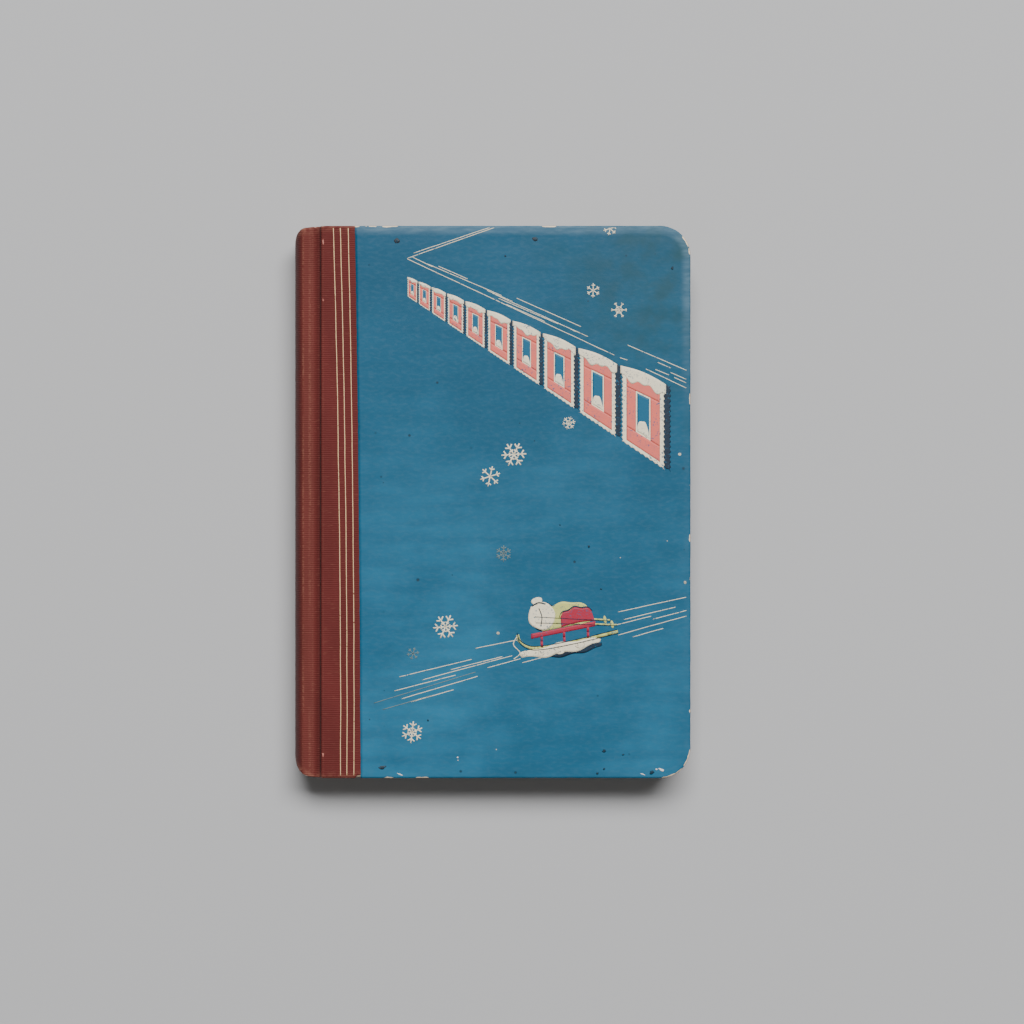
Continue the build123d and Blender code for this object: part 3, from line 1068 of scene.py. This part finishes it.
# ------------------------------------------------------------------ printing on the front cover
@dataclass
class Print:
    """Everything printed in one ink: flat shapes that are laid on the worn paper and joined."""

    name: str
    ink: InkFinish
    lift: float
    level: Callable[[float, float], float]
    slot: str
    thickness: float = 0.016
    reach: float = 0.25
    material: Material = field(init=False)
    points: list = field(default_factory=list)
    faces: list = field(default_factory=list)

    def __post_init__(self) -> None:
        """Make the ink."""
        self.material = self.ink.make()

    def add_shape(self, points: Sequence[Point], faces: Sequence[Sequence[int]]) -> None:
        """Add a flat shape, with its faces turned to look upwards."""
        start = len(self.points)
        self.points += points
        for face in faces:
            corners = [start + i for i in face]
            spots = [self.points[i] for i in corners]
            area = sum(a[0] * b[1] - b[0] * a[1] for a, b in zip(spots, spots[1:] + spots[:1]))
            self.faces.append(tuple(corners if area > 0 else corners[::-1]))

    def add_mesh(self, mesh: bpy.types.Mesh,
                 place: Callable[[float, float], Point] = lambda x, y: (x, y)) -> None:
        """Add a flat mesh.

        Args:
            mesh: Mesh in its own plane.
            place: Where a point of that plane lies on the cover.
        """
        self.add_shape([place(v.co.x, v.co.y) for v in mesh.vertices], [p.vertices for p in mesh.polygons])
        bpy.data.meshes.remove(mesh)

    def band(self, low: Callable[[float], Point], high: Callable[[float], Point], cell: float = 0.7) -> None:
        """Add the area between two lines.

        Args:
            low: First line, as a function of a share from 0 to 1.
            high: Second line.
            cell: Size of the cells that it is made of.
        """
        places = (0.0, 0.25, 0.5, 0.75, 1.0)
        rows = max(1, math.ceil(max(math.dist(low(t), high(t)) for t in places) / cell))
        steps = max(6, math.ceil(sum(math.dist(high(a), high(b)) for a, b in zip(places, places[1:])) / cell))
        pairs = [(low(step / steps), high(step / steps)) for step in range(steps + 1)]
        points = [(a[0] + (b[0] - a[0]) * row / rows, a[1] + (b[1] - a[1]) * row / rows)
                  for row in range(rows + 1) for a, b in pairs]
        self.add_shape(points, lattice_faces(rows + 1, steps + 1))

    def blot(self, centre: Point, reach: Point, turn: float = 0.0, ragged: float = 0.25,
             spokes: int = 22) -> None:
        """Add a filled round shape.

        Args:
            centre: Its middle.
            reach: Its half width and half height.
            turn: Angle that it is turned by.
            ragged: How uneven its outline is, as a share of its size.
            spokes: Number of points round it.
        """
        rings = max(2, math.ceil(max(reach) / 0.6))
        rays = [(math.cos(a), math.sin(a)) for a in 2 * math.pi * np.arange(spokes) / spokes]
        points = []
        for ring in range(rings + 1):
            for ray in rays:
                uneven = 1 + ragged * ripple(ray[0] + centre[0], ray[1] + centre[1], 0.9)
                u, v = (r * uneven * max(ring / rings, 0.02) * f for r, f in zip(reach, ray))
                points.append((centre[0] + u * math.cos(turn) - v * math.sin(turn),
                               centre[1] + u * math.sin(turn) + v * math.cos(turn)))
        faces = [(ring * spokes + a, ring * spokes + b, (ring + 1) * spokes + b, (ring + 1) * spokes + a)
                 for ring in range(rings) for a, b in ((s, (s + 1) % spokes) for s in range(spokes))]
        self.add_shape(points, [*faces, range(spokes)])

    def build(self) -> Piece:
        """Lay the print on the front cover, without what would hang over its edge.

        Returns:
            The piece.
        """
        faces = [f for f in self.faces if all(SIZES.to_edge(*self.points[i]) > self.reach for i in f)]
        used = sorted({i for f in faces for i in f})
        renumbered = {old: new for new, old in enumerate(used)}
        points = [(*self.points[i], self.level(*self.points[i]) + self.lift) for i in used]
        piece = piece_from(self.name, points, [tuple(renumbered[i] for i in f) for f in faces], self.material)
        thicken(piece, self.thickness)
        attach(piece, Side.FRONT.body)
        LOG.info("%s: %d faces", self.name, len(piece.data.polygons))
        return piece


def paper_level(x: float, y: float) -> float:
    """Height of the front cover's worn paper at a point."""
    radius = SIZES.edge_round
    over = min(radius, max(0.0, radius - SIZES.to_edge(x, y)))
    rounding = radius - math.sqrt(radius**2 - over**2)
    return SIZES.thickness + cover_relief(x, y, Side.FRONT.shift) - rounding


def cloth_level(x: float, y: float) -> float:
    """Height of the cloth on the front board."""
    return SpineCloth(Side.FRONT).flat


@dataclass
class CoverPicture:
    """The picture on the front cover: snowflakes, streaks of snow, a row of blank stamps, a loaded sledge."""

    cream: Colour = (238, 226, 196)
    pink: Colour = (224, 104, 86)
    dark: Colour = (24, 26, 38)
    red: Colour = (164, 24, 44)
    green: Colour = (196, 196, 108)
    blue: Colour = (18, 86, 116)
    faded: Colour = (104, 118, 116)
    stamp_count: int = 10
    row_left: float = -28.2
    row_right: float = 58.7
    growth_rate: float = 1.18
    gap: float = 0.16

    def __post_init__(self) -> None:
        """Prepare one layer for each ink, with its height above the paper."""
        self.line, self.flake, self.stamp = ruled_line_tree(), snowflake_tree(), perforated_sheet_tree()
        inks = {
            "shade": (self.dark, 0.030), "margins": (self.cream, 0.046), "frames": (self.pink, 0.062),
            "windows": (self.blue, 0.062), "snow": (self.cream, 0.078), "streaks": (self.cream, 0.030),
            "faded_flakes": (self.faded, 0.030), "load": (self.green, 0.050), "seat": (self.red, 0.064),
            "outlines": (self.dark, 0.096), "spots": ((52, 44, 40), 0.030),
            "dark_spots": ((18, 30, 38), 0.044), "scratches": ((232, 222, 214), 0.030),
        }
        self.layers: dict[str, Print] = {}
        for name, (colour, lift) in inks.items():
            ink = InkFinish(f"ink_{name}", colour, self.blue)
            self.layers[name] = Print(f"print_{name}", ink, lift, paper_level, "cover_paper")

    # ---------------------------------------------------- lines and snowflakes
    def streak(self, start: Point, end: Point, width: float = 0.21, layer: str = "streaks") -> None:
        """Print one thin line."""
        ink, steps = self.layers[layer], max(3, round(math.dist(start, end) / 1.2))
        ink.add_mesh(self.line.grow(ink.material, Start=(*start, 0.0), End=(*end, 0.0), Width=width,
                                    Wave=0.22, Wave_Size=6.0, Seed=start[0] * 0.37 + end[1], Steps=steps))

    def snowflake(self, centre: Point, size: float, turn: float, style: Sequence[float],
                  layer: str = "streaks") -> None:
        """Print one snowflake.

        Args:
            centre: Its middle.
            size: Distance across its arms.
            turn: Angle that it is turned by.
            style: Place and length of its branches, as shares of its radius.
            layer: Ink that it is printed in.
        """
        ink = self.layers[layer]
        names = ("Branch_Place", "Branch_Length", "Second_Place", "Second_Length")
        mesh = self.flake.grow(ink.material, Radius=size / 2, Width=0.10 + 0.042 * size, Turn=turn,
                               **dict(zip(names, style)))
        ink.add_mesh(mesh, lambda x, y: (centre[0] + x, centre[1] + y))

    def draw_snowflakes(self) -> None:
        """Print all the snowflakes and three loose dots."""
        feathered, plain, dotted = (0.6, 0.4, 0.28, 0.2), (0.64, 0.32, 0.2, 0.0), (0.84, 0.2, 0.3, 0.22)
        for centre, size, turn, style in (
            ((38.5, 90.0), 4.6, 0.3, plain), ((32.9, 69.6), 4.7, 0.5, plain),
            ((41.4, 63.2), 5.2, 0.0, dotted), ((24.9, 26.0), 4.4, 0.2, feathered),
            ((6.8, 15.6), 8.2, 0.06, feathered), ((-1.0, 8.4), 6.8, 0.3, plain),
            ((-15.7, -41.1), 8.2, 0.1, feathered), ((-26.7, -75.8), 7.2, 0.4, feathered),
        ):
            self.snowflake(centre, size, turn, style)
        self.snowflake((3.4, -17.0), 5.4, 0.5, feathered, "faded_flakes")
        self.snowflake((-26.4, -49.9), 4.2, 0.2, plain, "faded_flakes")
        for centre in ((61.4, 15.7), (1.6, -43.2), (63.2, -26.5)):
            self.snowflake(centre, 1.0, 0.0, (0.5, 0.6, 0.3, 0.5))

    def draw_streaks(self) -> None:
        """Print the two bundles of streaks: a chevron above and a trail below."""
        above = (((-28.3, 80.2), (2.8, 91.2)), ((-26.2, 81.9), (1.6, 91.3)), ((-28.3, 80.0), (39.9, 48.3)),
                 ((-26.6, 80.6), (-20.0, 77.4)), ((41.7, 47.5), (44.2, 46.7)), ((-21.5, 78.3), (2.8, 67.9)),
                 ((-18.0, 77.6), (-8.4, 73.4)), ((-2.0, 69.6), (6.4, 66.0)), ((-0.3, 68.7), (30.8, 54.6)),
                 ((1.8, 67.0), (21.5, 58.6)), ((7.7, 67.1), (28.9, 57.7)), ((4.4, 65.0), (17.0, 59.4)),
                 ((25.4, 56.9), (27.4, 56.0)), ((28.6, 55.6), (31.2, 54.4)), ((44.2, 51.7), (64.8, 42.8)),
                 ((54.2, 45.9), (58.4, 44.1)), ((53.4, 43.6), (57.9, 41.8)), ((50.2, 43.8), (64.8, 36.9)),
                 ((58.4, 42.6), (64.8, 39.8)), ((59.6, 41.0), (64.8, 38.6)))
        below = (((-30.9, -57.6), (-7.1, -51.8)), ((-23.4, -58.6), (6.2, -50.6)),
                 ((-30.1, -64.8), (-5.1, -57.4)), ((-32.5, -62.2), (-12.4, -57.0)),
                 ((-27.0, -65.8), (-13.0, -61.8)), ((-5.8, -48.2), (8.9, -45.2)),
                 ((-14.0, -55.2), (3.0, -50.9)), ((9.5, -53.0), (27.1, -48.2)), ((-2.0, -54.6), (9.0, -51.6)),
                 ((41.1, -36.2), (64.8, -31.1)), ((43.0, -38.7), (60.0, -34.6)), ((41.1, -43.8), (64.8, -37.2)),
                 ((39.0, -40.8), (52.0, -37.6)), ((52.6, -38.6), (64.8, -35.4)), ((46.0, -44.4), (56.0, -41.6)))
        for start, end in above + below:
            self.streak(start, end)
        for start, end in (((-39.3, -66.2), (-5.8, -56.0)), ((-36.4, -68.4), (-20.0, -63.6))):
            self.streak(start, end, 0.26, "faded_flakes")

    # ---------------------------------------------------- the row of stamps
    def row_lines(self, x: float) -> Point:
        """Lower and upper line of the row of stamps."""
        return 67.6 - 0.675 * (x - self.row_left), 74.0 - 0.415 * (x - self.row_left)

    def draw_stamps(self) -> None:
        """Print a row of blank stamps that grow along two spreading lines."""
        shares = [self.growth_rate**i for i in range(self.stamp_count)]
        first = (self.row_right - self.row_left) / (sum(shares) * (1 + self.gap))
        left = self.row_left
        for number, share in enumerate(shares):
            self.draw_stamp(left, first * share, number)
            left += first * share * (1 + self.gap)

    def draw_stamp(self, left: float, width: float, number: int) -> None:
        """Print one blank stamp with a snowy hill in its window.

        Args:
            left: X of its left edge.
            width: Its width.
            number: Its place in the row.
        """
        def on_cover(u: float, v: float) -> Point:
            """Point of the stamp from its low left corner, as shares of its size."""
            low, high = self.row_lines(left + u * width)
            return left + u * width, low + v * (high - low)

        def shaded(u: float, v: float) -> Point:
            """The same point of the shadow that the stamp throws."""
            x, y = on_cover(u, v)
            return x + 0.15 * width, y - 0.05 * width

        def across(near: float, far: float, up: Callable[[float], float] | float) -> Callable[[float], Point]:
            """A line across the stamp, at a height that is a share or a function of how far along it is."""
            return lambda t: on_cover(near + (far - near) * t, up(t) if callable(up) else up)

        columns = 5 + number // 2
        low, high = self.row_lines(left + width / 2)
        rows = round(columns * (high - low) / width)
        for layer, place in (("shade", shaded), ("margins", on_cover)):
            mesh = self.stamp.grow(self.layers[layer].material, Columns=columns, Rows=rows, Hole=0.3)
            self.layers[layer].add_mesh(mesh, lambda x, y, p=place: p(x / columns, y / rows))
        edge, inner, pane, snow = 0.11, 0.33, (0.36, 0.64), self.layers["snow"]
        for near, far, bottom, top in ((edge, 1 - edge, 0.06, 0.24), (edge, 1 - edge, 0.76, 0.94),
                                       (edge, inner, 0.24, 0.76), (1 - inner, 1 - edge, 0.24, 0.76)):
            self.layers["frames"].band(across(near, far, bottom), across(near, far, top))
        self.layers["windows"].band(across(*pane, 0.26), across(*pane, 0.74))
        snow.band(across(*pane, 0.26), across(*pane, lambda t: 0.31 + 0.12 * math.sin(math.pi * t) ** 0.8
                                              + 0.012 * math.sin(11 * t)))
        snow.band(across(-0.03, 1.03, lambda t: 0.9 + 0.03 * math.sin(9.5 * t + number)
                         + 0.02 * math.sin(23 * t + 2 * number) - 0.04 * math.sin(math.pi * t)),
                  across(-0.03, 1.03, lambda t: 1.0 + 0.035 * math.sin(math.pi * t)))

    # ---------------------------------------------------- the sledge
    def draw_sledge(self) -> None:
        """Print a loaded sledge running down to the left on a mound of snow."""
        lean, layers = math.atan(0.2), self.layers

        def on_cover(x: float, y: float) -> Point:
            """Point of the sledge, drawn level, on the sloping trail."""
            across, up = math.cos(lean), math.sin(lean)
            return 24.0 + x * across - y * up, -44.0 + x * up + y * across

        def arch(x0: float, x1: float, base: float, rise: float = 0.0,
                 lump: float = 0.0) -> Callable[[float], Point]:
            """A humped or level line from one place to another."""
            return lambda t: on_cover(x0 + (x1 - x0) * t, base + rise * math.sin(math.pi * t) ** 0.6
                                      + lump * math.sin(5 * math.pi * t))

        def path(corners: list[Point], width: float, layer: str, steps: int = 5) -> None:
            """A smooth printed line through a few points."""
            curve = [on_cover(*place) for place in smooth_path(corners, steps)]
            for first, second in zip(curve, curve[1:]):
                self.streak(first, second, width, layer)

        def lump(x: float, y: float, reach: Point, layer: str, ragged: float = 0.12) -> None:
            """A round shape on the sledge."""
            layers[layer].blot(on_cover(x, y), reach, lean, ragged)

        # the mound of snow and its shade
        layers["shade"].band(arch(-9.0, 11.0, -5.6, -1.0, 0.3), arch(-9.0, 11.0, -4.4, 0.4, 0.2))
        layers["snow"].band(arch(-15.8, 10.5, -4.2, -1.3, 0.5), arch(-16.2, 11.0, -3.4, 1.4, 0.35))
        for x, y, size in ((-14.6, -3.2, 1.6), (-9.6, -4.0, 1.8), (-3.0, -4.4, 1.9), (4.0, -4.0, 1.7)):
            lump(x, y, (size, size * 0.62), "snow")
        # runners, posts and seat
        runner = [(-15.6, 3.4), (-15.4, 1.2), (-13.4, -1.0), (-10.0, -2.2), (0.0, -2.6), (17.0, -2.0)]
        path(runner, 1.0, "load")
        for drop in (-0.6, 0.6):
            path([(x, y + drop) for x, y in runner], 0.28, "outlines")
        for x in (-8.5, -1.0, 7.0):
            path([(x, -2.2), (x + 0.6, 1.6)], 0.8, "seat", 2)
        layers["seat"].band(arch(-11.5, 10.0, 1.2), arch(-11.2, 10.4, 2.8))
        # the load: a green parcel under a red blanket, and a pale sack
        layers["load"].band(arch(-7.5, 8.6, 2.9), arch(-7.8, 9.0, 7.6, 3.4, 0.25))
        layers["seat"].band(arch(-1.0, 10.2, 2.9, 0.5), arch(-0.6, 9.8, 6.4, 2.0, 0.3))
        layers["outlines"].band(arch(-1.0, 10.0, 6.2, 2.2, 0.3), arch(-1.0, 10.0, 6.6, 2.3, 0.3))
        for x, y, reach, layer in ((-6.2, 7.6, (4.6, 4.9), "shade"), (-6.6, 7.9, (4.4, 4.7), "snow"),
                                   (-6.5, 7.3, (2.9, 3.2), "frames"), (-7.2, 13.0, (1.9, 1.2), "snow")):
            lump(x, y, reach, layer)
        path([(-9.2, 11.7), (-6.8, 12.4), (-4.6, 11.5)], 0.45, "outlines")
        path([(-7.6, 4.6), (-6.6, 7.6), (-7.0, 10.6)], 0.3, "outlines")
        # two sticks strapped along the load, with round baskets
        for rise, length in ((0.0, 17.2), (2.0, 15.2)):
            path([(-9.0, 6.4 + rise), (length, 0.2 + rise)], 0.55, "load", 12)
            path([(-9.0, 6.1 + rise), (length, -0.1 + rise)], 0.22, "outlines", 12)
            lump(length - 1.6, 0.7 + rise, (0.5, 1.3), "load", 0.05)
        path([(-15.6, 3.2), (-17.6, 0.6), (-16.0, -2.6), (-18.4, -4.2)], 0.3, "snow", 6)

    def draw_stains(self) -> None:
        """Add the spots and scratches of long use."""
        for x, y, wide, tall in ((-31.7, 86.0, 1.0, 0.8), (13.8, 86.5, 0.8, 0.7), (-36.7, -87.4, 1.2, 0.6)):
            self.layers["spots"].blot((x, y), (wide, tall), 0.2, 0.6)
            self.layers["dark_spots"].blot((x + 0.1, y - 0.1), (wide * 0.5, tall * 0.5), 0.0, 0.8)
        for x, y, size in ((4.0, 81.0, 0.3), (-40.8, 78.0, 0.25), (36.5, -82.0, 0.5), (42.8, -83.2, 0.28),
                           (34.3, -89.4, 0.4), (36.5, -87.9, 0.35), (52.2, -89.0, 0.6), (-21.5, -71.9, 0.3),
                           (59.0, 77.0, 0.4), (31.5, -14.7, 0.35), (22.0, -7.6, 0.25), (35.5, -28.7, 0.3)):
            self.layers["dark_spots"].blot((x, y), (size, size * 1.2), x, 0.5)
        for x, y, wide, tall in ((55.5, -88.2, 0.9, 0.42), (53.7, -88.0, 0.3, 0.25), (49.2, -89.6, 0.8, 0.16),
                                 (-11.7, -84.1, 0.26, 0.26), (-11.6, -85.0, 0.15, 0.15),
                                 (-30.6, -89.7, 1.0, 0.2)):
            self.layers["scratches"].blot((x, y), (wide, tall), -0.35, 0.6)

    def build(self) -> None:
        """Draw the picture and lay it on the cover."""
        self.draw_snowflakes()
        self.draw_streaks()
        self.draw_stamps()
        self.draw_sledge()
        self.draw_stains()
        for layer in self.layers.values():
            layer.build()


@dataclass
class ClothMarks:
    """Three thin, slightly wavering gilt rules down the front cloth, and bare threads beside its groove."""

    head_places: tuple[float, ...] = (12.4, 14.7, 17.3)
    tail_places: tuple[float, ...] = (14.8, 16.9, 19.2)
    gold: Colour = (246, 212, 162)
    thread: Colour = (176, 112, 100)
    width: float = 0.23

    def layer(self, name: str, ink: InkFinish) -> Print:
        """One layer on the cloth."""
        return Print(name, ink, 0.03, cloth_level, "spine_cloth", reach=0.6)

    def build(self) -> None:
        """Press the rules into the cloth and rub it."""
        foil = InkFinish("gilt_foil", self.gold, (88, 30, 27), wear=0.4, metal=0.15)
        rules = self.layer("gilt_rules", foil)
        tree, reach = ruled_line_tree(), SIZES.head_y - SIZES.edge_round
        for number, (head, tail) in enumerate(zip(self.head_places, self.tail_places)):
            x = SIZES.spine_x + tail
            rules.add_mesh(tree.grow(rules.material, Start=(x, -reach, 0.0), End=(x, reach, 0.0),
                                     Width=self.width, Wave=0.45, Wave_Size=24.0, Bow=head - tail,
                                     Seed=3.0 + 5.0 * number, Steps=180))
        rules.build()
        nicks = self.layer("groove_nicks", InkFinish("bare_thread", self.thread, (104, 44, 40), wear=0.45))
        for y, tall in ((-83.3, 0.6), (66.5, 0.5), (85.6, 0.9)):
            nicks.blot((SIZES.spine_x + 9.0, y), (0.3, tall), 0.1, 0.7)
        nicks.build()


# ------------------------------------------------------------------ pockets
def pocket_row_tree() -> Growth:
    """Tree for the pockets of one leaf side: glued strips, each with a folded hem along its open edge."""
    tree = Growth("pocket_rows", {"Width": 100.0, "Depth": 21.0, "Pitch": 33.0, "Rows": 5, "Rise": 0.07,
                                  "Hem": 1.4, "Seed": 0.0})
    width, depth, hem = tree["Width"], tree["Depth"], tree["Hem"]
    side_gap = tree.minus(tree.times(width, 0.5), tree.calc("ABSOLUTE", tree.along("X")))
    low_gap = tree.plus(tree.along("Y"), tree.times(depth, 0.5))
    gap = tree.calc("MINIMUM", tree.calc("MINIMUM", side_gap, low_gap), 4.0)
    inputs = {"Vector": tree.place, "W": tree["Seed"], "Scale": 0.09}
    uneven = tree.plus(tree.times(tree.add("TexNoise", inputs, noise_dimensions="4D"), 0.8), 0.4)
    lift = tree.times(tree["Rise"], tree.calc("SQRT", tree.times(gap, 0.25)), uneven)
    strip = tree.moved(tree.grid(width, depth, 52, 13), tree.vector(z=tree.plus(lift, 0.01)))
    to_edge = tree.vector(y=tree.times(tree.minus(depth, hem), 0.5), z=0.1)
    fold = tree.geo("Transform", {"Geometry": tree.grid(width, hem, 52, 3), "Translation": to_edge})
    places = tree.geo("MeshLine", {"Count": tree["Rows"], "Offset": tree.vector(y=tree["Pitch"])})
    return tree.finish(tree.geo("InstanceOnPoints", {"Points": places, "Instance": tree.join(strip, fold)}))


@dataclass
class Pockets:
    """Glassine pockets on both sides of every leaf."""

    leaves: int = 8
    rows: int = 5
    depth: float = 21.0
    thickness: float = 0.03

    def build(self) -> None:
        """Build them all from one tree."""
        glassine = GlassineFinish("pocket_glassine", 0.5).make()
        tree = pocket_row_tree()
        for number in range(1, self.leaves + 1):
            for upper, side in ((True, "upper"), (False, "under")):
                node = f"leaf_{number}_{side}_pockets"
                low, high = (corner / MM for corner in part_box(node))
                pitch = (high.y - low.y - self.depth) / (self.rows - 1)
                mesh = tree.grow(glassine, Width=high.x - low.x, Depth=self.depth, Pitch=pitch,
                                 Rows=self.rows, Seed=number + 0.5 * upper)
                base, way = (low.z, 1) if upper else (high.z, -1)
                middle, first = (low.x + high.x) / 2, low.y + self.depth / 2
                points = [(middle + v.co.x, first + v.co.y, base + way * v.co.z) for v in mesh.vertices]
                faces = [tuple(p.vertices)[::way] for p in mesh.polygons]
                bpy.data.meshes.remove(mesh)
                piece = piece_from(f"leaf_{number}_{side}_pocket_strips", points, faces, glassine)
                thicken(piece, self.thickness)
                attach(piece, f"leaf_{number}")
                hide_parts(node)
        LOG.info("pockets: %d pieces", 2 * self.leaves)


def main() -> None:
    """Build the album's pieces in order and report them."""
    logging.basicConfig(level=logging.INFO, format="%(message)s")
    Studio().build()
    dress_cad_nodes()
    for side in Side:
        CoverPaper(side).build()
        SpineCloth(side).build()
    ClothMarks().build()
    CoverPicture().build()
    Pockets().build()


if __name__ == "__main__":
    main()
